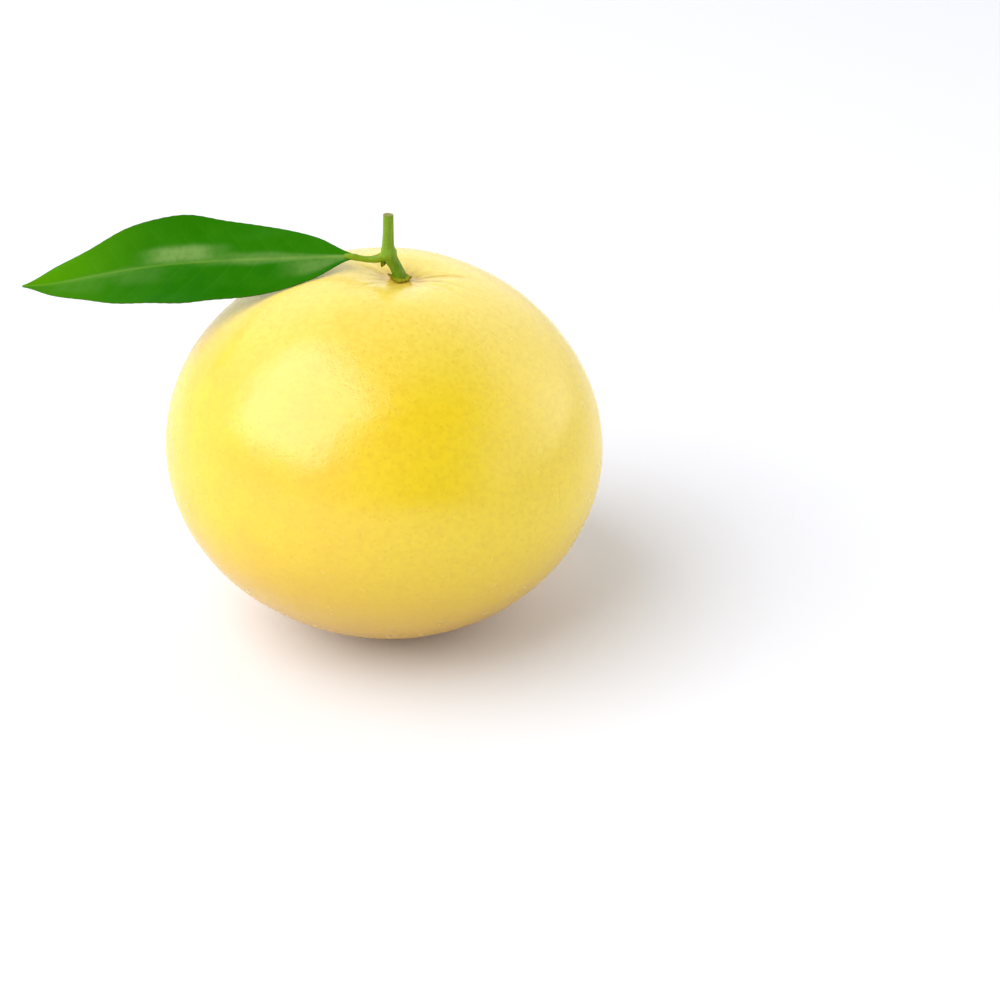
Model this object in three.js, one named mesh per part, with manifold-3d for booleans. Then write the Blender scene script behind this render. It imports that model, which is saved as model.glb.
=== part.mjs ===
// A whole grapefruit, picked with its calyx, its stalk, a stub of the twig that bore it and one leaf.
// Millimetres, +Z up. The origin is the centre of the flat spot that the fruit rests on. The leaf points
// along -X, and the fruit's own axis leans a little towards +X.
import * as THREE from "three";
import { mergeVertices } from "three/addons/utils/BufferGeometryUtils.js";
import Module from "manifold-3d";

const { degToRad, clamp } = THREE.MathUtils;

// Fruit: an oblate body that sinks in round the stalk.
const EQUATOR_RADIUS = 54.2;
const POLE_RADIUS = 46.8; // from the centre to either end, before the stem end sinks in
const LEAN = degToRad(5.8);
const HOLLOW_DEPTH = 2.7; // of the dip that the calyx sits in
const HOLLOW_SPREAD = 9.5; // distance from the axis where the dip has risen by two thirds
const REST_RADIUS = 8.5; // of the flat spot
// Slow bulges round the girth, as [how many, height, angle of the first].
const BULGES = [
  [2, 0.3, degToRad(35)],
  [3, 0.25, degToRad(80)],
  [5, 0.15, degToRad(10)],
];

// Calyx: the five-lobed green button between fruit and stalk.
const CALYX_RADIUS = 2.7; // in the notches
const CALYX_HEIGHT = 1.2;
const RIM_THICKNESS = 0.4;
const CALYX_LOBES = 5;
const LOBE_REACH = 0.6; // how far a lobe stands out past the notch beside it
const FRONT_LOBE = degToRad(-96); // where one of the lobes points

// Stem: the stalk rises from the calyx to a swollen node, where the twig goes on straight up to its cut.
const NODE = new THREE.Vector3(-2.6, 0, 6.3); // from the bottom of the hollow
const TWIG_SPAN = new THREE.Vector3(0.25, 0, 10.2); // from the node to the cut
const STALK_BEND = new THREE.Vector3(-0.8, 0, 4.1); // the stalk passes through here on its way
const STALK_FOOT_RADIUS = 1.75;
const STALK_RADIUS = 1.3;
const NODE_RADIUS = 1.65;
const TWIG_RADIUS = 1.2;

// Leaf: the stalk of the leaf, then the blade.
const PETIOLE_DROP = 0.65; // its start below the middle of the node
const PETIOLE_SPAN = new THREE.Vector3(-6.4, 0, 0.4); // from the side of the node to the blade
const PETIOLE_SAG = 0.6;
const PETIOLE_RADIUS = 0.8;
const BLADE_LENGTH = 81.2;
const BLADE_HALF_WIDTH = 14;
const BLADE_THICKNESS = 0.5;
const BLADE_ROLL = degToRad(28); // the blade's near edge hangs lower than its far edge
const BLADE_FOLD = degToRad(17.1); // how far each half turns up beside the midrib at the tip
const BLADE_DROOP = 6.2; // how far its outer half bends down
const BLADE_SINK = 4.9; // how far it settles towards the fruit
const BLADE_BACK = 8; // how far it swings towards +Y
// Half the blade's width as a share of the widest, at even steps from foot to tip.
const BLADE_OUTLINE = [0.07, 0.416, 0.65, 0.812, 0.913, 1, 0.92, 0.79, 0.544, 0.321, 0.02];
const EDGE_WAVE = 1.05;
const WAVES = 1.5; // along each edge
const NEAR_EDGE_PHASE = 0.49; // of a wave, at the foot
const FAR_EDGE_PHASE = 0.31;

// Bud: the small resting bud under the petiole.
const BUD_FOOT = new THREE.Vector3(0.75, 0, -1.4); // from the start of the petiole
const BUD_LENGTH = 1.4;
const BUD_RADIUS = 0.45;
const BUD_TURN = degToRad(-155); // from straight up: it points down, a little away from the stalk

const GAP = 0.3; // left between pieces that grow on each other

const wasm = await Module();
wasm.setup();

const fruitAxis = new THREE.Vector3(Math.sin(LEAN), 0, Math.cos(LEAN));
const restHeight = Math.hypot(EQUATOR_RADIUS * Math.sin(LEAN), POLE_RADIUS * Math.cos(LEAN));
// A flat spot of this radius comes from cutting this much off the bottom.
const restCut = (REST_RADIUS ** 2 * POLE_RADIUS) / (2 * EQUATOR_RADIUS ** 2);
const fruitCentre = new THREE.Vector3(
  (-(EQUATOR_RADIUS ** 2 - POLE_RADIUS ** 2) * Math.sin(LEAN) * Math.cos(LEAN)) / restHeight,
  0,
  restHeight - restCut,
);

// Moves every vertex of a geometry to where place(vertex) puts it.
function reshape(geometry, place) {
  const position = geometry.getAttribute("position");
  const vertex = new THREE.Vector3();
  for (let i = 0; i < position.count; i++) {
    vertex.fromBufferAttribute(position, i);
    place(vertex);
    position.setXYZ(i, vertex.x, vertex.y, vertex.z);
  }
  geometry.computeVertexNormals();
  return geometry;
}

// A profile of [radius, height] points turned round +Z.
function turned(profile, sides) {
  const points = profile.map(([radius, height]) => new THREE.Vector2(radius, height));
  return new THREE.LatheGeometry(points, sides).rotateX(Math.PI / 2);
}

// A solid round bar along a path. Its radius follows the curve's own parameter, 0 to 1.
function taperedBar(path, radiusAt, sides, steps) {
  const { normals, binormals } = path.computeFrenetFrames(steps);
  return reshape(new THREE.CylinderGeometry(1, 1, 1, sides, steps), (vertex) => {
    const step = Math.round((vertex.y + 0.5) * steps);
    const share = step / steps;
    const radius = radiusAt(path.getUtoTmapping(share));
    const { x, z } = vertex;
    vertex
      .copy(path.getPointAt(share))
      .addScaledVector(binormals[step], x * radius)
      .addScaledVector(normals[step], z * radius);
  });
}

// A value that follows evenly spaced samples smoothly, for a share from 0 to 1.
function smoothly(samples) {
  const curve = new THREE.SplineCurve(samples.map((value, i) => new THREE.Vector2(i, value)));
  return (share) => curve.getPoint(clamp(share, 0, 1)).y;
}

function solidOf(geometry) {
  const bare = geometry.clone();
  bare.deleteAttribute("normal");
  bare.deleteAttribute("uv");
  const merged = mergeVertices(bare);
  return new wasm.Manifold(
    new wasm.Mesh({
      numProp: 3,
      vertProperties: merged.getAttribute("position").array,
      triVerts: new Uint32Array(merged.index.array),
    }),
  );
}

function geometryOf(solid) {
  const { vertProperties, triVerts } = solid.getMesh();
  const geometry = new THREE.BufferGeometry()
    .setAttribute("position", new THREE.BufferAttribute(vertProperties, 3))
    .setIndex(new THREE.BufferAttribute(triVerts, 1));
  geometry.computeVertexNormals();
  return geometry;
}

// How deep the stem end is sunk at this distance from the fruit's axis.
const hollowAt = (distance) => HOLLOW_DEPTH * Math.exp(-((distance / HOLLOW_SPREAD) ** 2));

// How far the girth bulges out at this turn round the fruit's axis.
function bulgeAt(turn) {
  const heights = BULGES.map(([count, height, at]) => height * Math.cos(count * (turn - at)));
  return heights.reduce((sum, height) => sum + height);
}

function fruitGeometry() {
  const body = new THREE.SphereGeometry(1, 72, 46).rotateX(Math.PI / 2);
  reshape(body, (vertex) => {
    const girth = Math.hypot(vertex.x, vertex.y); // 0 at the ends, 1 at the equator
    const turn = Math.atan2(vertex.y, vertex.x);
    const radius = EQUATOR_RADIUS + bulgeAt(turn) * girth;
    const sunk = vertex.z > 0 ? hollowAt(girth * radius) : 0;
    vertex.set(vertex.x * radius, vertex.y * radius, vertex.z * POLE_RADIUS - sunk);
  });
  body.rotateY(LEAN).translate(fruitCentre.x, fruitCentre.y, fruitCentre.z);
  const below = new THREE.BoxGeometry(40, 40, 20).translate(0, 0, -10);
  return geometryOf(solidOf(body).subtract(solidOf(below)));
}

// The calyx follows the hollow underneath, and its rim is drawn out into lobes.
function calyxGeometry() {
  const rise = (distance) => HOLLOW_DEPTH - hollowAt(distance);
  const profile = [
    [0, GAP],
    [0.5 * CALYX_RADIUS, GAP + rise(0.5 * CALYX_RADIUS)],
    [CALYX_RADIUS, GAP + rise(CALYX_RADIUS)],
    [CALYX_RADIUS, GAP + rise(CALYX_RADIUS) + RIM_THICKNESS],
    [STALK_FOOT_RADIUS + 0.4, CALYX_HEIGHT],
    [0, CALYX_HEIGHT],
  ];
  return reshape(turned(profile, 50), (vertex) => {
    const distance = Math.hypot(vertex.x, vertex.y);
    const turn = Math.atan2(vertex.y, vertex.x) - FRONT_LOBE;
    const lobe = 0.5 + 0.5 * Math.cos(CALYX_LOBES * turn);
    const stretch = 1 + (LOBE_REACH * lobe * (distance / CALYX_RADIUS) ** 3) / CALYX_RADIUS;
    vertex.set(vertex.x * stretch, vertex.y * stretch, vertex.z);
  });
}

function stemGeometry() {
  const foot = fruitAxis.clone().multiplyScalar(CALYX_HEIGHT + GAP);
  const twig = (share) => NODE.clone().addScaledVector(TWIG_SPAN, share);
  const stations = [
    [foot, STALK_FOOT_RADIUS],
    [foot.clone().addScaledVector(fruitAxis, 0.7), 0.85 * STALK_FOOT_RADIUS],
    [STALK_BEND, STALK_RADIUS],
    [NODE, NODE_RADIUS],
    [twig(0.2), 1.05 * TWIG_RADIUS],
    [twig(0.6), TWIG_RADIUS],
    [twig(1), 0.92 * TWIG_RADIUS],
  ];
  const path = new THREE.CatmullRomCurve3(stations.map(([point]) => point));
  return taperedBar(path, smoothly(stations.map(([, radius]) => radius)), 14, 24);
}

// Starts beside the node, dips a little and meets the foot of the blade.
function petioleGeometry() {
  const path = new THREE.QuadraticBezierCurve3(
    new THREE.Vector3(),
    PETIOLE_SPAN.clone().multiplyScalar(0.5).add(new THREE.Vector3(0, 0, -2 * PETIOLE_SAG)),
    PETIOLE_SPAN,
  );
  const swelling = smoothly([1.35, 1, 0.95, 1.1]);
  return taperedBar(path, (share) => PETIOLE_RADIUS * swelling(share), 10, 10);
}

function budGeometry() {
  const profile = [
    [0, 0],
    [BUD_RADIUS * 0.8, 0],
    [BUD_RADIUS, BUD_LENGTH * 0.35],
    [BUD_RADIUS * 0.7, BUD_LENGTH * 0.75],
    [0, BUD_LENGTH],
  ];
  return turned(profile, 10);
}

// The blade in its own frame: +X from foot to tip, +Y across to its near edge, +Z out of its upper face.
function bladeGeometry() {
  const outline = smoothly(BLADE_OUTLINE);
  return reshape(new THREE.BoxGeometry(1, 1, 1, 40, 12, 1), (vertex) => {
    const along = vertex.x + 0.5;
    const side = 2 * vertex.y;
    const across = side * BLADE_HALF_WIDTH * outline(along);
    const phase = side > 0 ? NEAR_EDGE_PHASE : FAR_EDGE_PHASE;
    const swing = Math.sin(2 * Math.PI * (WAVES * along + phase)) * Math.sin(Math.PI * along);
    const rise = Math.abs(across) * Math.tan(BLADE_FOLD * along ** 2) + EDGE_WAVE * side ** 2 * swing;
    const droop = BLADE_DROOP * (0.5 - 0.5 * Math.cos(Math.PI * along ** 2.35));
    const lying = 1 - (1 - along) ** 2;
    vertex.set(
      along * BLADE_LENGTH,
      across * Math.cos(BLADE_ROLL) + rise * Math.sin(BLADE_ROLL) - BLADE_BACK * lying,
      rise * Math.cos(BLADE_ROLL) - across * Math.sin(BLADE_ROLL) - BLADE_SINK * lying - droop
        + vertex.z * BLADE_THICKNESS,
    );
  });
}

const colours = { peel: "#f3cf2a", calyx: "#7a7a22", bark: "#6f8f2c", leaf: "#2f7a12" };
const finish = (color, roughness) => new THREE.MeshStandardMaterial({ color, roughness, metalness: 0 });

function piece(name, geometry, material) {
  const mesh = new THREE.Mesh(geometry, material);
  mesh.name = name;
  return mesh;
}

const grapefruit = new THREE.Group();
grapefruit.add(piece("fruit", fruitGeometry(), finish(colours.peel, 0.45)));

// Everything above the fruit hangs from the bottom of the hollow at its stem end.
const crown = new THREE.Group();
crown.position.copy(fruitCentre).addScaledVector(fruitAxis, POLE_RADIUS - HOLLOW_DEPTH);
grapefruit.add(crown);

const calyx = piece("calyx", calyxGeometry(), finish(colours.calyx, 0.7));
calyx.rotation.y = LEAN;
crown.add(calyx, piece("stem", stemGeometry(), finish(colours.bark, 0.55)));

const leaf = new THREE.Group();
leaf.position.copy(NODE).add(new THREE.Vector3(-NODE_RADIUS - GAP, 0, -PETIOLE_DROP));
crown.add(leaf);
leaf.add(piece("petiole", petioleGeometry(), finish(colours.bark, 0.5)));

const bud = piece("axillary_bud", budGeometry(), finish(colours.calyx, 0.7));
bud.position.copy(BUD_FOOT);
bud.rotation.y = BUD_TURN;
leaf.add(bud);

const blade = piece("leaf_blade", bladeGeometry(), finish(colours.leaf, 0.35));
blade.position.copy(PETIOLE_SPAN).add(new THREE.Vector3(-1.5 * GAP, 0, 0));
blade.rotation.z = Math.PI;
leaf.add(blade);

export default grapefruit;
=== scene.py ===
import math
import random

import bmesh
import bpy
import numpy as np
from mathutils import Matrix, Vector, noise


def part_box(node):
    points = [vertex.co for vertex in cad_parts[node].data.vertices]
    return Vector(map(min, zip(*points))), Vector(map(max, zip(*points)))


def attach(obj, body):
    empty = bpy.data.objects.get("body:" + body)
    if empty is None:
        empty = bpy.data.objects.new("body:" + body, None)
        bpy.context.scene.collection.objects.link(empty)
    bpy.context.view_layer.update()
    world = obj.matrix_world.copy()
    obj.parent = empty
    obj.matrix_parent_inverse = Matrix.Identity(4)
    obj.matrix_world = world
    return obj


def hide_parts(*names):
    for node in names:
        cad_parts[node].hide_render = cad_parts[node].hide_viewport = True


# A picked grapefruit with its calyx, stalk, a stub of twig and one leaf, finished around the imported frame.
# Metres, +Z up. The leaf points along -X and the fruit's axis leans a little towards +X.
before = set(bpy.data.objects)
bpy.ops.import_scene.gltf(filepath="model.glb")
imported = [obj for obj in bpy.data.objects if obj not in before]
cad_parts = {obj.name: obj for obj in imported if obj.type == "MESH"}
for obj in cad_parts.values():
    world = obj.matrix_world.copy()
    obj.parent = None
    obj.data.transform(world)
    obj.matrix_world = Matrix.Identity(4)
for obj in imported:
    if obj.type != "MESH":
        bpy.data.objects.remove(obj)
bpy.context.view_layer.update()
MM = 0.001

# ---------------------------------------------------------------- sizes shared by several pieces

LEAN = math.radians(5.8)
POLE_SHARE = 0.8635  # half the fruit's height, as a share of half its girth
HOLLOW_DEPTH = 2.7 * MM
HOLLOW_SPREAD = 9.5 * MM  # distance from the axis where the hollow has risen by two thirds
FLAT_RADIUS = 8.5 * MM

# The growing points above the fruit, in millimetres beside and above the bottom of the hollow.
NODE = (-2.6, 6.3)
PETIOLE_FOOT = (-4.55, 5.65)
BLADE_FOOT = (-11.4, 6.05)

fruit_low, fruit_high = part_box("fruit")
blade_low, blade_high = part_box("leaf_blade")

GIRTH = 0.5 * (fruit_high.y - fruit_low.y)
POLE = POLE_SHARE * GIRTH
upright = Vector((math.sin(LEAN), 0, math.cos(LEAN)))
rest_height = math.hypot(GIRTH * math.sin(LEAN), POLE * math.cos(LEAN))
fruit_centre = Vector((
    -(GIRTH**2 - POLE**2) * math.sin(LEAN) * math.cos(LEAN) / rest_height,
    0,
    rest_height - FLAT_RADIUS**2 * POLE / (2 * GIRTH**2),
))
stem_end = fruit_centre + upright * (POLE - HOLLOW_DEPTH)


# ---------------------------------------------------------------- making meshes

def points_of(mesh):
    """The mesh's vertices as rows of x, y, z."""
    found = np.empty(len(mesh.vertices) * 3, np.float32)
    mesh.vertices.foreach_get("co", found)
    return found.reshape(-1, 3).astype(float)


def move_points(mesh, points):
    mesh.vertices.foreach_set("co", points.astype(np.float32).ravel())
    mesh.update()


def leaned(points):
    """Turns points from the fruit's own upright frame to the way it leans."""
    turn = np.array([[math.cos(LEAN), 0, math.sin(LEAN)], [0, 1, 0], [-math.sin(LEAN), 0, math.cos(LEAN)]])
    return points @ turn.T


def mesh_from(bm, name):
    bmesh.ops.recalc_face_normals(bm, faces=bm.faces[:])
    mesh = bpy.data.meshes.new(name)
    bm.to_mesh(mesh)
    bm.free()
    return mesh


def store(mesh, name, values):
    """Keeps one number per vertex on the mesh, for its material to read."""
    attribute = mesh.attributes.new(name, "FLOAT", "POINT")
    attribute.data.foreach_set("value", values.astype(np.float32))


def finished(mesh, materials, node):
    """Shows the mesh as a piece in place of a CAD node."""
    for material in materials:
        mesh.materials.append(material)
    mesh.polygons.foreach_set("use_smooth", [True] * len(mesh.polygons))
    piece = bpy.data.objects.new(mesh.name, mesh)
    bpy.context.scene.collection.objects.link(piece)
    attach(piece, "root")
    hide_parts(node)


def through(samples, share):
    """Follows evenly spaced samples, numbers or points, along a Catmull-Rom curve from 0 to 1."""
    samples = np.asarray(samples, float)
    last = len(samples) - 1
    at = np.clip(np.atleast_1d(share), 0, 1) * last
    i = np.minimum(at.astype(int), last - 1)
    t = (at - i).reshape(-1, *[1] * (samples.ndim - 1))
    before, a = samples[np.maximum(i - 1, 0)], samples[i]
    b, after = samples[i + 1], samples[np.minimum(i + 2, last)]
    return 0.5 * (
        2 * a + (b - before) * t
        + (2 * before - 5 * a + 4 * b - after) * t**2
        + (3 * a - before - 3 * b + after) * t**3
    )


def ripple(points, wavelength):
    """Smooth noise from about -1 to 1 at each point, with bumps about a wavelength apart."""
    return np.array([noise.noise(Vector(p) / wavelength * 1.6) for p in points])


def cells(points, spacing):
    """Distance from each point to the nearest of many scattered spots, in spacings."""
    return np.array([noise.voronoi(Vector(p) / spacing)[0][0] for p in points])


def smooth_step(low, high, x):
    t = np.clip((x - low) / (high - low), 0, 1)
    return t * t * (3 - 2 * t)


# ---------------------------------------------------------------- materials

def linear(colour):
    """An sRGB hex colour such as "f2c81e" as linear red, green, blue and full alpha."""
    parts = [int(colour[i:i + 2], 16) / 255 for i in (0, 2, 4)]
    return [c / 12.92 if c <= 0.04045 else ((c + 0.055) / 1.055) ** 2.4 for c in parts] + [1.0]


SOFTLY = {"interpolation_type": "SMOOTHSTEP"}


def add(tree, kind, links, **settings):
    """Adds a node with its settings. An input gets a value, a socket or a node (its first output in use)."""
    node = tree.nodes.new("ShaderNode" + kind)
    for name, value in settings.items():
        setattr(node, name, value)
    for name, value in links.items():
        if isinstance(value, bpy.types.Node):
            value = next(output for output in value.outputs if output.enabled)
        if isinstance(value, bpy.types.NodeSocket):
            tree.links.new(value, node.inputs[name])
        else:
            node.inputs[name].default_value = value
    return node


def new_material(name):
    """A new material with no nodes yet, its tree, and the place on the object."""
    material = bpy.data.materials.new(name)
    material.use_nodes = True
    tree = material.node_tree
    tree.nodes.clear()
    return material, tree, add(tree, "TexCoord", {}).outputs["Object"]


def citrus_rind():
    """Grapefruit rind, grown, washed and waxed: satin yellow, finely pitted by oil glands."""
    material, tree, place = new_material("citrus_rind")
    # Painted light: darker gold on the left, where the softbox lights it, and brighter yellow on the right,
    # where less light reaches.
    at = add(tree, "SeparateXYZ", {0: place})
    painted_side_light = add(tree, "MapRange", {0: at.outputs["X"], 1: -30 * MM, 2: 30 * MM}, **SOFTLY)
    colour = add(tree, "Mix", {0: painted_side_light, 6: linear("ecc52c"), 7: linear("f7d90a")}, data_type="RGBA")
    blotch = add(tree, "TexNoise", {"Vector": place, "Scale": 1 / (9 * MM), "Detail": 3.0})
    blotch = add(tree, "MapRange", {0: blotch, 1: 0.3, 2: 0.7, 4: 0.35}, **SOFTLY)
    colour = add(tree, "Mix", {0: blotch, 6: colour, 7: linear("f5da10")}, data_type="RGBA")
    # Painted shade: deeper gold towards the bottom.
    low = add(tree, "MapRange", {0: at.outputs["Z"], 1: 50 * MM, 2: 4 * MM}, **SOFTLY)
    colour = add(tree, "Mix", {0: low, 6: colour, 7: linear("c8990a")}, data_type="RGBA")
    # Painted light: paler on top, which also lightens the shade under the leaf.
    high = add(tree, "MapRange", {0: at.outputs["Z"], 1: 72 * MM, 2: 92 * MM, 4: 0.65}, **SOFTLY)
    colour = add(tree, "Mix", {0: high, 6: colour, 7: linear("f6e070")}, data_type="RGBA")
    mottle = add(tree, "TexNoise", {"Vector": place, "Scale": 1 / (1.5 * MM), "Detail": 2.0})
    mottle = add(tree, "MapRange", {0: mottle, 1: 0.35, 2: 0.7, 4: 0.2}, **SOFTLY)
    colour = add(tree, "Mix", {0: mottle, 6: colour, 7: linear("d8ac08")}, data_type="RGBA")
    # The oil glands: small darker dots, some a little stronger than others.
    gland = add(tree, "TexVoronoi", {"Vector": place, "Scale": 1 / (1.15 * MM)})
    pit = add(tree, "MapRange", {0: gland, 1: 0.08, 2: 0.42, 3: 1.0, 4: 0.0}, **SOFTLY)
    draw = add(tree, "SeparateColor", {0: gland.outputs["Color"]})
    dark = add(tree, "MapRange", {0: draw, 1: 0.3, 2: 1.0, 3: 0.06, 4: 0.2}, **SOFTLY)
    dot = add(tree, "Math", {0: pit, 1: dark}, operation="MULTIPLY")
    colour = add(tree, "Mix", {0: dot, 6: colour, 7: linear("bd8f04")}, data_type="RGBA")
    # Round the stalk the rind is warmer, its folds are darker by their depth, its thin lines are stained,
    # and the flower's scar is corky.
    for name, tint in (("collar", "dc9c1e"), ("furrow", "a9780f"), ("scar", "6f4e22")):
        share = add(tree, "Attribute", {}, attribute_name=name).outputs["Fac"]
        colour = add(tree, "Mix", {0: share, 6: colour, 7: linear(tint)}, data_type="RGBA")
    grain = add(tree, "TexNoise", {"Vector": place, "Scale": 1 / (0.5 * MM)})
    height = add(tree, "Math", {0: pit, 1: -0.6, 2: grain}, operation="MULTIPLY_ADD")
    worn = add(tree, "TexNoise", {"Vector": place, "Scale": 1 / (4 * MM)})
    shader = add(tree, "BsdfPrincipled", {
        "Base Color": colour,
        "Roughness": add(tree, "MapRange", {0: worn, 1: 0.2, 2: 0.8, 3: 0.22, 4: 0.28}, **SOFTLY),
        "Normal": add(tree, "Bump", {"Height": height, "Distance": 0.03 * MM}),
        "IOR": 1.5, "Specular IOR Level": 0.8,
        "Subsurface Weight": 0.12, "Subsurface Scale": 2 * MM, "Subsurface Radius": (1.0, 0.6, 0.15),
    })
    add(tree, "OutputMaterial", {"Surface": shader})
    return material


def waxy_leaf_green():
    """Upper face of a citrus leaf, waxy: deep green and gently glossy, with patches of painted sheen on it.
    """
    material, tree, place = new_material("waxy_leaf_green")
    along = add(tree, "Attribute", {}, attribute_name="along").outputs["Fac"]
    young = add(tree, "MapRange", {0: along, 1: 0.55, 2: 1.0}, **SOFTLY)
    colour = add(tree, "Mix", {0: young, 6: linear("246f00"), 7: linear("4f9200")}, data_type="RGBA")
    side = add(tree, "Attribute", {}, attribute_name="side").outputs["Fac"]
    # Painted shade: the near half of the blade is darker green.
    near = add(tree, "MapRange", {0: side, 1: -0.2, 2: 0.4, 4: 0.45}, **SOFTLY)
    colour = add(tree, "Mix", {0: near, 6: colour, 7: linear("136300")}, data_type="RGBA")
    blotch = add(tree, "TexNoise", {"Vector": place, "Scale": 1 / (6 * MM), "Detail": 4.0})
    blotch = add(tree, "MapRange", {0: blotch, 1: 0.35, 2: 0.75, 4: 0.35}, **SOFTLY)
    colour = add(tree, "Mix", {0: blotch, 6: colour, 7: linear("347a02")}, data_type="RGBA")
    vein = add(tree, "Attribute", {}, attribute_name="vein").outputs["Fac"]
    colour = add(tree, "Mix", {0: vein, 6: colour, 7: linear("7fa33c")}, data_type="RGBA")
    # Painted sheen: pale patches that stand in for the leaf's reflection, broken up by noise.
    sheen_breakup = add(tree, "TexNoise", {"Vector": place, "Scale": 1 / (1.5 * MM), "Detail": 3.0})
    sheen_breakup = add(tree, "MapRange", {0: sheen_breakup, 1: 0.3, 2: 0.6, 3: 0.75, 4: 1.0}, **SOFTLY)
    painted_sheen = add(tree, "Attribute", {}, attribute_name="painted_sheen").outputs["Fac"]
    sheen_patches = add(tree, "Math", {0: painted_sheen, 1: sheen_breakup}, operation="MULTIPLY")
    colour = add(tree, "Mix", {0: sheen_patches, 6: colour, 7: linear("789a50")}, data_type="RGBA")
    rim = add(tree, "Attribute", {}, attribute_name="rim").outputs["Fac"]
    colour = add(tree, "Mix", {0: rim, 6: colour, 7: linear("5a5a10")}, data_type="RGBA")
    net = add(tree, "TexVoronoi", {"Vector": place, "Scale": 1 / (1.6 * MM)}, feature="DISTANCE_TO_EDGE")
    cushion = add(tree, "MapRange", {0: net, 1: 0.0, 2: 0.12}, **SOFTLY)
    grain = add(tree, "TexNoise", {"Vector": place, "Scale": 1 / (0.4 * MM)})
    height = add(tree, "Math", {0: cushion, 1: 0.6, 2: grain}, operation="MULTIPLY_ADD")
    worn = add(tree, "TexNoise", {"Vector": place, "Scale": 1 / (6 * MM)})
    shader = add(tree, "BsdfPrincipled", {
        "Base Color": colour,
        "Roughness": add(tree, "MapRange", {0: worn, 1: 0.3, 2: 0.7, 3: 0.3, 4: 0.42}, **SOFTLY),
        "Normal": add(tree, "Bump", {"Height": height, "Distance": 0.03 * MM}),
        "IOR": 1.45, "Specular IOR Level": 0.04, "Specular Tint": (0.88, 1.0, 0.25, 1.0),
    })
    add(tree, "OutputMaterial", {"Surface": shader})
    return material


def matte_leaf_green():
    """Under face of a citrus leaf, with no wax: paler, greyer green and matte, with raised veins."""
    material, tree, place = new_material("matte_leaf_green")
    blotch = add(tree, "TexNoise", {"Vector": place, "Scale": 1 / (3 * MM), "Detail": 3.0})
    colour = add(tree, "Mix", {0: blotch, 6: linear("5c8f35"), 7: linear("6fa244")}, data_type="RGBA")
    vein = add(tree, "Attribute", {}, attribute_name="vein").outputs["Fac"]
    colour = add(tree, "Mix", {0: vein, 6: colour, 7: linear("a3c468")}, data_type="RGBA")
    grain = add(tree, "TexNoise", {"Vector": place, "Scale": 1 / (0.3 * MM)})
    shader = add(tree, "BsdfPrincipled", {
        "Base Color": colour,
        "Roughness": add(tree, "MapRange", {0: blotch, 1: 0.2, 2: 0.8, 3: 0.58, 4: 0.7}, **SOFTLY),
        "Normal": add(tree, "Bump", {"Height": grain, "Distance": 0.03 * MM}),
        "IOR": 1.45, "Specular IOR Level": 0.3,
    })
    add(tree, "OutputMaterial", {"Surface": shader})
    return material


def green_bark(name, old, young, streak):
    """Young green bark, grown: satin, streaked lengthways, speckled with paler breathing pores."""
    material, tree, place = new_material(name)
    along = add(tree, "Attribute", {}, attribute_name="along").outputs["Fac"]
    along = add(tree, "MapRange", {0: along, 1: 0.3, 2: 0.6}, **SOFTLY)
    colour = add(tree, "Mix", {0: along, 6: linear(old), 7: linear(young)}, data_type="RGBA")
    drawn_out = add(tree, "Mapping", {"Vector": place, "Scale": (1, 1, 0.12)})
    fibre = add(tree, "TexNoise", {"Vector": drawn_out, "Scale": 1 / (0.5 * MM), "Detail": 3.0})
    lighter = add(tree, "MapRange", {0: fibre, 1: 0.4, 2: 0.75, 4: 0.4}, **SOFTLY)
    colour = add(tree, "Mix", {0: lighter, 6: colour, 7: linear(streak)}, data_type="RGBA")
    pore = add(tree, "TexVoronoi", {"Vector": place, "Scale": 1 / (0.8 * MM)})
    pore = add(tree, "MapRange", {0: pore, 1: 0.1, 2: 0.28, 3: 0.4, 4: 0.0}, **SOFTLY)
    colour = add(tree, "Mix", {0: pore, 6: colour, 7: linear("b4b96c")}, data_type="RGBA")
    dry = add(tree, "Attribute", {}, attribute_name="dry").outputs["Fac"]
    colour = add(tree, "Mix", {0: dry, 6: colour, 7: linear("6e5a1c")}, data_type="RGBA")
    shader = add(tree, "BsdfPrincipled", {
        "Base Color": colour,
        "Roughness": add(tree, "MapRange", {0: fibre, 1: 0.2, 2: 0.8, 3: 0.42, 4: 0.55}, **SOFTLY),
        "Normal": add(tree, "Bump", {"Height": fibre, "Distance": 0.06 * MM}),
        "IOR": 1.45, "Specular IOR Level": 0.25,
    })
    add(tree, "OutputMaterial", {"Surface": shader})
    return material


def cut_wood():
    """The cut end of a green twig, drying: dull olive wood, fibrous and matte."""
    material, tree, place = new_material("cut_twig_wood")
    grain = add(tree, "TexNoise", {"Vector": place, "Scale": 1 / (0.25 * MM), "Detail": 3.0})
    colour = add(tree, "Mix", {0: grain, 6: linear("6f7a26"), 7: linear("9a9a4e")}, data_type="RGBA")
    shader = add(tree, "BsdfPrincipled", {
        "Base Color": colour,
        "Roughness": add(tree, "MapRange", {0: grain, 3: 0.7, 4: 0.85}, **SOFTLY),
        "Normal": add(tree, "Bump", {"Height": grain, "Distance": 0.08 * MM}),
        "IOR": 1.45, "Specular IOR Level": 0.3,
    })
    add(tree, "OutputMaterial", {"Surface": shader})
    return material


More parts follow.
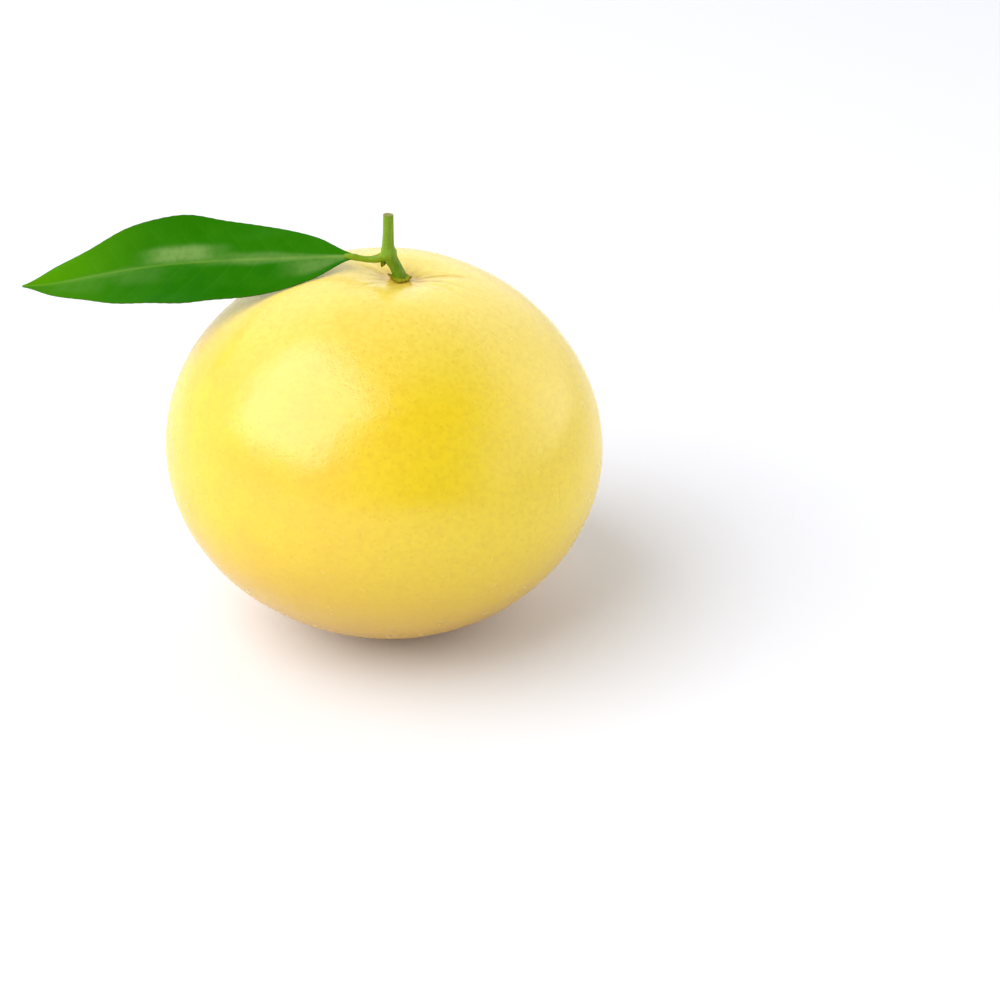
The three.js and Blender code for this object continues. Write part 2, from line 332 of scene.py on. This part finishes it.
def drying_scale(name, fresh, faded, brown):
    """Calyx and bud scales, drying after picking: leathery olive green, brown at the tips, matte."""
    material, tree, place = new_material(name)
    patch = add(tree, "TexNoise", {"Vector": place, "Scale": 1 / (0.7 * MM), "Detail": 3.0})
    colour = add(tree, "Mix", {0: patch, 6: linear(fresh), 7: linear(faded)}, data_type="RGBA")
    dry = add(tree, "Attribute", {}, attribute_name="dry").outputs["Fac"]
    colour = add(tree, "Mix", {0: dry, 6: colour, 7: linear(brown)}, data_type="RGBA")
    shader = add(tree, "BsdfPrincipled", {
        "Base Color": colour,
        "Roughness": add(tree, "MapRange", {0: patch, 1: 0.2, 2: 0.8, 3: 0.62, 4: 0.8}, **SOFTLY),
        "Normal": add(tree, "Bump", {"Height": patch, "Distance": 0.1 * MM}),
        "IOR": 1.4, "Specular IOR Level": 0.25,
    })
    add(tree, "OutputMaterial", {"Surface": shader})
    return material


def matte_white_floor():
    """Rolled studio floor, painted: matte and nearly white, a little cool."""
    material, tree, _ = new_material("matte_white_floor")
    shader = add(tree, "BsdfPrincipled", {"Base Color": linear("f2f3fa"), "Roughness": 0.9})
    add(tree, "OutputMaterial", {"Surface": shader})
    return material


# ---------------------------------------------------------------- fruit

FRUIT_GRID = 126  # faces along each edge of the cube that the fruit is rounded from
PULL = 0.3  # how far the grid is drawn together towards the stem end, where the furrows are
BULGES = [(2, 0.3 * MM, 35), (3, 0.25 * MM, 80), (5, 0.15 * MM, 10)]  # how many, how high, at what angle
# The rim of the hollow stands highest behind the stalk and to its right.
SHOULDER = 0.8 * MM
SHOULDER_DISTANCE = 24 * MM
SHOULDER_SPREAD = 14 * MM
SHOULDER_TURN = math.radians(50)
# Broad folds run out from the stalk, darker by their depth, with thin stained lines between them.
FOLDS = {"count": 17, "seed": 5, "reach": (11, 24), "width": (0.7, 1.5), "depth": (0.08, 0.3)}
LINES = {"count": 26, "seed": 8, "reach": (8, 20), "width": (0.35, 0.6), "depth": (0.06, 0.18)}
FRONT_FOLDS = 0.1  # how deep they are in front of the stalk and behind it, as a share of beside it
FOLD_DARKENING = 0.21 / (0.34 * MM)  # share of darker colour, over depth
LINE_STAIN = 0.5 / (0.12 * MM)
SWELLS = [(26 * MM, 0.14 * MM), (7 * MM, 0.035 * MM)]  # how far apart, how high
PIT_SPACING = 3.4 * MM
PIT_DEPTH = 0.03 * MM
PIT_WIDTH = 0.4  # as a share of their spacing
COLLAR_WARMTH = 0.45
COLLAR_RADII = (2.5 * MM, 6.5 * MM)  # the warm ring round the stalk fades between these
SCAR_RADIUS = 2.2 * MM
SCAR_DEPTH = 0.35 * MM


def rays(distance, turn, count, seed, reach, width, depth):
    """Depth of lines that run out from the stalk. The pairs are least and most, in millimetres."""
    draw = random.Random(seed)
    total = np.zeros(len(turn))
    for i in range(count):
        at = math.tau * (i + draw.uniform(-0.3, 0.3)) / count
        far = draw.uniform(*reach) * MM
        half = draw.uniform(*width) * MM
        deep = draw.uniform(*depth) * MM
        bend = draw.uniform(-15, 15)  # radians a metre
        off = (turn - at - bend * distance + math.pi) % math.tau - math.pi
        beside = off * np.maximum(distance, 1 * MM)
        fade = smooth_step(2 * MM, 5 * MM, distance) * (1 - smooth_step(0.4 * far, far, distance))
        total += deep * fade * np.exp(-((beside / half) ** 2))
    return total


def fruit():
    bm = bmesh.new()
    bmesh.ops.create_cube(bm, size=2)
    bmesh.ops.subdivide_edges(bm, edges=bm.edges[:], cuts=FRUIT_GRID - 1, use_grid_fill=True)
    mesh = mesh_from(bm, "whole_fruit")
    ray = np.tan(points_of(mesh) * math.pi / 4)
    ray /= np.linalg.norm(ray, axis=1)[:, None]
    turn = np.arctan2(ray[:, 1], ray[:, 0])
    polar = np.arccos(ray[:, 2].clip(-1, 1))
    polar -= PULL * np.sin(polar)
    girth = np.sin(polar)
    bulge = sum(high * np.cos(count * (turn - math.radians(at))) for count, high, at in BULGES)
    distance = girth * (GIRTH + girth * bulge)
    top = polar < math.pi / 2
    sunk = HOLLOW_DEPTH * np.exp(-((distance / HOLLOW_SPREAD) ** 2)) * top
    behind = 0.5 + 0.5 * np.cos(turn - SHOULDER_TURN)
    sunk -= SHOULDER * behind * np.exp(-(((distance - SHOULDER_DISTANCE) / SHOULDER_SPREAD) ** 2)) * top
    body = np.stack([distance * np.cos(turn), distance * np.sin(turn), np.cos(polar) * POLE - sunk], 1)
    outward = body / [GIRTH**2, GIRTH**2, POLE**2]
    outward /= np.linalg.norm(outward, axis=1)[:, None]
    plain = top * (FRONT_FOLDS + (1 - FRONT_FOLDS) * np.cos(turn) ** 2)
    folds = plain * rays(distance, turn, **FOLDS)
    lines = plain * rays(distance, turn, **LINES)
    relief = sum(high * ripple(body, apart) for apart, high in SWELLS) - folds - lines
    relief -= PIT_DEPTH * np.exp(-((cells(body, PIT_SPACING) / PIT_WIDTH) ** 2))
    body = leaned(body + outward * relief[:, None]) + np.array(fruit_centre)
    body[:, 2] = np.maximum(body[:, 2], 0)
    from_scar = np.where(top, 9.0, distance / SCAR_RADIUS)
    body[:, 2] += SCAR_DEPTH * (1 - smooth_step(0.6, 1.1, from_scar))
    move_points(mesh, body)
    patchy = 0.75 + 0.5 * ripple(body, 3 * MM)
    store(mesh, "collar", top * COLLAR_WARMTH * patchy * (1 - smooth_step(*COLLAR_RADII, distance)))
    store(mesh, "furrow", (FOLD_DARKENING * folds + LINE_STAIN * lines) * patchy)
    store(mesh, "scar", 0.85 * (1 - smooth_step(0.7, 1.25, from_scar)))
    finished(mesh, [citrus_rind()], "fruit")


# ---------------------------------------------------------------- leaf blade

BLADE_LENGTH = blade_high.x - blade_low.x
BLADE_HALF_WIDTH = 14 * MM
BLADE_ROLL = math.radians(28)  # its near edge hangs lower than its far edge
BLADE_FOLD = math.radians(17.1)  # how far each half turns up beside the midrib at the tip
BLADE_DROOP = 6.2 * MM  # how far its outer half bends down
BLADE_BACK = 8 * MM  # how far it swings towards +Y
BLADE_SINK = 4.9 * MM  # how far it settles towards the fruit
# The blade's half width as a share of the widest, at even steps from foot to tip.
BLADE_OUTLINE = [0.07, 0.416, 0.65, 0.812, 0.913, 1, 0.92, 0.79, 0.544, 0.321, 0.02]
BLADE_STEPS = 300
BLADE_COLUMNS = 110
EDGE_WAVE = 1.05 * MM
WAVES = 1.5  # along each edge
NEAR_PHASE = 0.49  # of a wave, at the foot
FAR_PHASE = 0.31
TOOTH_SPACING = 2.4 * MM
TOOTH_HEIGHT = 0.04 * MM
VEIN_SPACING = 6.2 * MM
VEIN_SLOPE = 0.55  # how far forward a side vein runs for each step outward
VEIN_BEND = 12  # how it bends further forward, over metres outward
VEIN_WIDTH = 0.26 * MM
PUFF = 0.06 * MM
COCKLE = 0.3 * MM
COCKLE_SPACING = 13 * MM
# Painted sheen patches: place along the blade, half length, place across, half width and strength.
PAINTED_SHEEN = [
    (0.515, 0.12, -0.2, 0.17, 0.85),
    (0.2, 0.24, -0.02, 0.16, 0.45),
    (0.09, 0.1, 0.35, 0.35, 0.48),
    (0.64, 0.08, 0.22, 0.26, 0.15),
    (0.83, 0.08, 0.4, 0.35, 0.12),
    (0.76, 0.16, 0.05, 0.12, 0.22),
]


def leaf_blade():
    bm = bmesh.new()
    bmesh.ops.create_grid(bm, x_segments=BLADE_STEPS, y_segments=BLADE_COLUMNS, size=1)
    upper = bmesh.ops.extrude_face_region(bm, geom=bm.faces[:])["geom"]
    bmesh.ops.translate(bm, verts=[v for v in upper if isinstance(v, bmesh.types.BMVert)], vec=(0, 0, 1))
    mesh = mesh_from(bm, "leaf")
    grid = points_of(mesh)
    along, side, level = (grid[:, 0] + 1) / 2, grid[:, 1], grid[:, 2]
    run = along * BLADE_LENGTH
    margin = np.abs(side)
    half = BLADE_HALF_WIDTH * through(BLADE_OUTLINE, along)
    teeth = TOOTH_HEIGHT * np.sin(math.tau * run / TOOTH_SPACING + 2 * side)
    teeth *= margin**8 * np.sin(math.pi * along)
    across = side * (half + teeth)
    beside = np.abs(across)
    flat = np.stack([run, across, 0 * run], 1)
    swing = np.sin(math.tau * (WAVES * along + np.where(side > 0, NEAR_PHASE, FAR_PHASE)))
    rise = beside * np.tan(BLADE_FOLD * along**2) + EDGE_WAVE * side**2 * swing * np.sin(math.pi * along)
    droop = BLADE_DROOP * (0.5 - 0.5 * np.cos(math.pi * along**2.35))
    lying = 1 - (1 - along) ** 2
    # Side veins leave the midrib alternately and bend forward, and the blade puffs up between them.
    lane = (run - VEIN_SLOPE * beside - VEIN_BEND * beside**2) / VEIN_SPACING
    lane += 0.4 * (side > 0) + 0.12 * ripple(flat, 20 * MM)
    off = (lane - np.round(lane)) * VEIN_SPACING
    inner = (1 - smooth_step(0.7, 0.96, margin)) * smooth_step(0.03, 0.12, along)
    inner *= 1 - smooth_step(0.88, 0.97, along)
    vein = np.exp(-((off / VEIN_WIDTH) ** 2)) * inner * (1 - 0.6 * margin)
    puff = (0.5 - 0.5 * np.cos(math.tau * lane)) * inner * np.minimum(1, beside / (3 * MM))
    rib = np.exp(-((across / ((0.5 - 0.3 * along) * MM)) ** 2))
    groove = np.exp(-((across / ((1.6 - 0.9 * along) * MM)) ** 2))
    rise += PUFF * puff + COCKLE * ripple(flat, COCKLE_SPACING) * smooth_step(0, 0.4, margin) * inner
    over = 0.12 * MM + 0.14 * MM * rib - 0.16 * MM * groove - 0.05 * MM * vein
    under = 0.18 * MM + 0.65 * MM * rib * (1 - along) ** 0.7 + 0.08 * MM * vein
    thick = np.where(level > 0.5, over, -under * (1 - 0.5 * margin**6))
    foot = np.array(above_hollow(*BLADE_FOOT))
    back = BLADE_BACK * lying - across * math.cos(BLADE_ROLL) - rise * math.sin(BLADE_ROLL)
    lift = rise * math.cos(BLADE_ROLL) - across * math.sin(BLADE_ROLL) - BLADE_SINK * lying - droop
    move_points(mesh, np.stack([foot[0] - run, back, foot[2] + lift + thick], 1))
    store(mesh, "along", along)
    store(mesh, "side", side)
    faint = 0.45 + 0.35 * ripple(flat, 11 * MM)
    store(mesh, "vein", np.maximum(0.05 * vein, faint * rib * (1 - 0.4 * along)))
    store(mesh, "rim", 0.25 * smooth_step(0.975, 1.0, margin))
    # Painted sheen patches, kept for the upper face's material.
    painted_sheen = np.zeros(len(along))
    ragged = 0.25 * ripple(flat, 9 * MM)
    for at, length, centre, width, strength in PAINTED_SHEEN:
        off_along = (along - at) / length + ragged
        off_side = (side - centre) / width + ragged
        painted_sheen = np.maximum(painted_sheen, strength * np.exp(-(off_along**4) - off_side**4))
    store(mesh, "painted_sheen", painted_sheen)
    upward = np.empty(len(mesh.polygons) * 3, np.float32)
    mesh.polygons.foreach_get("normal", upward)
    mesh.polygons.foreach_set("material_index", (upward.reshape(-1, 3)[:, 2] < 0).astype(np.int32))
    finished(mesh, [waxy_leaf_green(), matte_leaf_green()], "leaf_blade")


# ---------------------------------------------------------------- stalk, twig and leaf stalk

def above_hollow(beside, above):
    """A point from its millimetres beside and above the bottom of the hollow."""
    return stem_end + Vector((beside * MM, 0, above * MM))


def bar(name, stations, sides, steps, shape):
    """A closed bar along stations of (point, radius), and the share along it of each of its vertices.

    shape gives extra radius from the share along and the turn round the bar.
    """
    bm = bmesh.new()
    bmesh.ops.create_cone(bm, cap_ends=True, segments=sides, radius1=1, radius2=1, depth=1)
    caps = [f for f in bm.faces if len(f.verts) > 4]
    lines = [e for e in bm.edges if abs(e.verts[0].co.z - e.verts[1].co.z) > 0.5]
    bmesh.ops.subdivide_edges(bm, edges=lines, cuts=steps - 1)
    for inset in (0.1, 0.08, 0.2, 0.3):
        bmesh.ops.inset_region(bm, faces=caps, thickness=inset)
        for face in caps:
            face.material_index = 1
    mesh = mesh_from(bm, name)
    unit = points_of(mesh)
    share = unit[:, 2] + 0.5
    turn = np.arctan2(unit[:, 1], unit[:, 0])
    reach = np.hypot(unit[:, 0], unit[:, 1])
    path = [tuple(point) for point, _ in stations]
    tangent = through(path, share + 0.004) - through(path, share - 0.004)
    tangent /= np.linalg.norm(tangent, axis=1)[:, None]
    beside = np.cross([0.0, 1.0, 0.0], tangent)
    beside /= np.linalg.norm(beside, axis=1)[:, None]
    out = beside * np.cos(turn)[:, None] + np.cross(tangent, beside) * np.sin(turn)[:, None]
    radius = through([radius for _, radius in stations], share) + shape(share, turn)
    move_points(mesh, through(path, share) + out * (radius * reach)[:, None])
    return mesh, share


def stem():
    node_x, node_z = NODE
    stations = [
        (above_hollow(-0.1, 0.4), 1.9 * MM),
        (above_hollow(-0.25, 1.8), 1.62 * MM),
        (above_hollow(-0.95, 3.6), 1.44 * MM),
        (above_hollow(-1.85, 5.3), 1.62 * MM),
        (above_hollow(node_x + 0.15, node_z + 0.6), 1.98 * MM),
        (above_hollow(node_x, node_z + 2.4), 1.52 * MM),
        (above_hollow(node_x + 0.15, node_z + 6.1), 1.28 * MM),
        (above_hollow(node_x + 0.25, node_z + 10.2), 1.24 * MM),
    ]

    def ridged(share, turn):
        angled = 0.06 * MM * np.cos(3 * turn + 0.6) * smooth_step(0.5, 0.7, share)
        ribs = 0.04 * MM * np.cos(9 * turn + 3 * share) * (1 - smooth_step(0.45, 0.6, share))
        return angled + ribs + 0.02 * MM * np.sin(23 * share + 2 * turn)

    mesh, share = bar("stalk_and_twig", stations, 48, 150, ridged)
    store(mesh, "dry", 0.5 * smooth_step(0.985, 1.0, share) + 0.4 * (1 - smooth_step(0.0, 0.1, share)))
    store(mesh, "along", share)
    bark = green_bark("green_twig_bark", "5f8604", "739a1c", "93b040")
    finished(mesh, [bark, cut_wood()], "stem")


def petiole():
    x, z = PETIOLE_FOOT
    blade_x, blade_z = BLADE_FOOT
    span = blade_x - x
    stations = [
        (above_hollow(x + 1.1, z + 0.35), 1.2 * MM),
        (above_hollow(x + 0.12 * span, z - 0.25), 0.98 * MM),
        (above_hollow(x + 0.4 * span, z - 0.42), 0.78 * MM),
        (above_hollow(x + 0.7 * span, z - 0.15), 0.74 * MM),
        (above_hollow(x + 0.92 * span, z + 0.2), 0.84 * MM),
        (above_hollow(blade_x - 1.6, blade_z + 0.05), 0.55 * MM),
    ]

    def grooved(share, turn):
        groove = -0.12 * MM * np.exp(-((np.abs(turn) - math.pi) ** 2 / 0.1)) * smooth_step(0.2, 0.5, share)
        return groove - 0.07 * MM * np.exp(-(((share - 0.8) / 0.012) ** 2))

    mesh, share = bar("leaf_stalk", stations, 36, 90, grooved)
    store(mesh, "dry", 0.35 * np.exp(-(((share - 0.8) / 0.015) ** 2)))
    store(mesh, "along", share)
    bark = green_bark("green_leaf_stalk", "76960a", "7a9c08", "8ea81e")
    finished(mesh, [bark], "petiole")


# ---------------------------------------------------------------- calyx and bud

# Section of the calyx in millimetres, from its middle underneath, out round the rim and back on top.
CALYX_SECTION = [
    (0, -0.4), (1.3, -0.3), (2.4, -0.05), (2.75, 0.15),
    (2.6, 0.42), (2.1, 0.7), (1.5, 1.3), (0, 1.35),
]
CALYX_EDGE = 2.75 * MM
# Each lobe: its angle, how far it reaches past the notches and how far its tip curls up, and its width.
# Angles and widths are in degrees, and the rest in millimetres.
LOBES = [
    (-96, 0.75, 0.1, 30),
    (-14, 0.85, 1.15, 28),
    (52, 0.7, 0.3, 30),
    (118, 0.6, 0.35, 28),
    (203, 1.05, 1.45, 36),
]


def calyx():
    bm = bmesh.new()
    ring = [bm.verts.new((x * MM, 0, z * MM)) for x, z in CALYX_SECTION]
    edges = [bm.edges.new(pair) for pair in zip(ring, ring[1:])]
    bmesh.ops.subdivide_edges(bm, edges=edges, cuts=5, smooth=0.3)
    bmesh.ops.spin(
        bm, geom=bm.verts[:] + bm.edges[:], cent=(0, 0, 0), axis=(0, 0, 1),
        angle=math.tau, steps=120, use_merge=True,
    )
    bmesh.ops.remove_doubles(bm, verts=bm.verts[:], dist=1e-6)
    mesh = mesh_from(bm, "calyx_lobes")
    p = points_of(mesh)
    distance = np.hypot(p[:, 0], p[:, 1])
    turn = np.arctan2(p[:, 1], p[:, 0])
    share = distance / CALYX_EDGE
    reach, lift = np.zeros(len(p)), np.zeros(len(p))
    for at, out, up, width in LOBES:
        off = (turn - math.radians(at) + math.pi) % math.tau - math.pi
        lobe = np.exp(-((off / math.radians(width)) ** 2))
        reach += out * MM * lobe
        lift += up * MM * lobe
    stretch = 0.8 + 0.03 * np.sin(17 * turn) * share + reach / CALYX_EDGE * share**2
    rise = 0.12 * MM * share**2 + lift * smooth_step(0.55, 1.1, share)
    crease = 0.08 * MM * np.cos(13 * turn) * smooth_step(0.3, 0.9, share)
    p = np.stack([p[:, 0] * stretch, p[:, 1] * stretch, p[:, 2] + rise + crease], 1)
    move_points(mesh, leaned(p) + np.array(stem_end))
    store(mesh, "dry", smooth_step(0.86, 1.05, share) * (0.75 + 0.4 * ripple(p, 1.5 * MM)))
    finished(mesh, [drying_scale("drying_calyx", "8a9a08", "a0980e", "6a4a0c")], "calyx")


def axillary_bud():
    low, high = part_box("axillary_bud")
    middle = (low + high) / 2
    bm = bmesh.new()
    bmesh.ops.create_uvsphere(bm, u_segments=40, v_segments=30, radius=1)
    mesh = mesh_from(bm, "resting_bud")
    p = points_of(mesh)
    turn = np.arctan2(p[:, 1], p[:, 0])
    # Pointed below, with the edges of two wrapping scales.
    taper = 1 - 0.35 * smooth_step(0, -1, p[:, 2])
    scale_edge = 0.06 * np.cos(2 * turn + 4 * p[:, 2])
    out = (taper + scale_edge) * 0.62 * MM
    x, y, z = p[:, 0] * out, p[:, 1] * out, p[:, 2] * 1.05 * MM
    turned = math.radians(25)
    place = np.stack([
        x * math.cos(turned) + z * math.sin(turned), y, z * math.cos(turned) - x * math.sin(turned),
    ], 1)
    move_points(mesh, place + np.array(middle) + [0.15 * MM, 0, 0.35 * MM])
    store(mesh, "dry", 0.5 + 0.35 * np.cos(2 * turn + 4 * p[:, 2]))
    finished(mesh, [drying_scale("bud_scales", "6a8408", "7c8a10", "5c5a0c")], "axillary_bud")


# ---------------------------------------------------------------- studio

CAMERA_LENS = 75
CAMERA_DISTANCE = 520.4 * MM
CAMERA_PITCH = math.radians(28.7)  # looking down
CAMERA_ASIDE = 28.5 * MM  # to the right of the fruit's centre, square to the view
CAMERA_BELOW = 14.4 * MM  # below the fruit's centre, square to the view


def camera():
    back = Vector((0, -math.cos(CAMERA_PITCH), math.sin(CAMERA_PITCH)))
    up = Vector((0, math.sin(CAMERA_PITCH), math.cos(CAMERA_PITCH)))
    data = bpy.data.cameras.new("camera")
    data.lens = CAMERA_LENS
    data.clip_start = 10 * MM
    data.clip_end = 50
    view = bpy.data.objects.new("camera", data)
    view.location = fruit_centre + back * CAMERA_DISTANCE + Vector((CAMERA_ASIDE, 0, 0)) - up * CAMERA_BELOW
    view.rotation_euler = (math.pi / 2 - CAMERA_PITCH, 0, 0)
    bpy.context.scene.collection.objects.link(view)
    bpy.context.scene.camera = view


# The softbox stands high, to the left of the fruit and a little in front of it.
KEY_TOWARD = Vector((-0.57, -0.33, 0.752)).normalized()
KEY_DISTANCE = 2.0
KEY_SIDE = 2.1
KEY_POWER = 42
FLOOR_HALF = 8


def softbox():
    data = bpy.data.lights.new("softbox", "AREA")
    data.shape = "SQUARE"
    data.size = KEY_SIDE
    data.energy = KEY_POWER
    lamp = bpy.data.objects.new("softbox", data)
    lamp.location = fruit_centre + KEY_TOWARD * KEY_DISTANCE
    lamp.rotation_euler = (-KEY_TOWARD).to_track_quat("-Z", "Y").to_euler()
    lamp.visible_camera = False
    bpy.context.scene.collection.objects.link(lamp)


def studio():
    scene = bpy.context.scene
    scene.view_settings.view_transform = "Standard"
    scene.world = bpy.data.worlds.new("studio")
    scene.world.use_nodes = True
    tree = scene.world.node_tree
    tree.nodes.clear()
    # Pale walls behind, on the left and on the right, and a ceiling that is dark overhead.
    toward = add(tree, "SeparateXYZ", {0: add(tree, "TexCoord", {})})
    behind = add(tree, "MapRange", {0: toward.outputs["Y"], 1: -0.3, 2: 0.5, 3: 0.26, 4: 1.35}, **SOFTLY)
    corner = add(tree, "MapRange", {0: toward.outputs["X"], 1: -0.65, 2: -0.2, 3: 0.5, 4: 1.0}, **SOFTLY)
    behind = add(tree, "Math", {0: behind, 1: corner}, operation="MULTIPLY")
    left = add(tree, "MapRange", {0: toward.outputs["X"], 1: 0.2, 2: -0.8, 4: 0.85}, **SOFTLY)
    beside = add(tree, "MapRange", {0: toward.outputs["Y"], 1: 0.0, 2: 0.6, 3: 1.0, 4: 0.5}, **SOFTLY)
    left = add(tree, "Math", {0: left, 1: beside}, operation="MULTIPLY")
    right = add(tree, "MapRange", {0: toward.outputs["X"], 1: 0.6, 2: 0.95, 4: 1.15}, **SOFTLY)
    walls = add(tree, "Math", {0: add(tree, "Math", {0: behind, 1: left}), 1: right})
    overhead = add(tree, "MapRange", {0: toward.outputs["Z"], 1: 0.6, 2: 0.95, 3: 1.0, 4: 0.15}, **SOFTLY)
    strength = add(tree, "Math", {0: walls, 1: overhead}, operation="MULTIPLY")
    light = add(tree, "Background", {"Color": linear("ffffff"), "Strength": strength})
    add(tree, "OutputWorld", {"Surface": light})
    softbox()
    bm = bmesh.new()
    bmesh.ops.create_grid(bm, x_segments=1, y_segments=1, size=FLOOR_HALF)
    floor = bpy.data.objects.new("floor", mesh_from(bm, "floor"))
    floor.data.materials.append(matte_white_floor())
    scene.collection.objects.link(floor)


camera()
fruit()
leaf_blade()
stem()
petiole()
calyx()
axillary_bud()
studio()
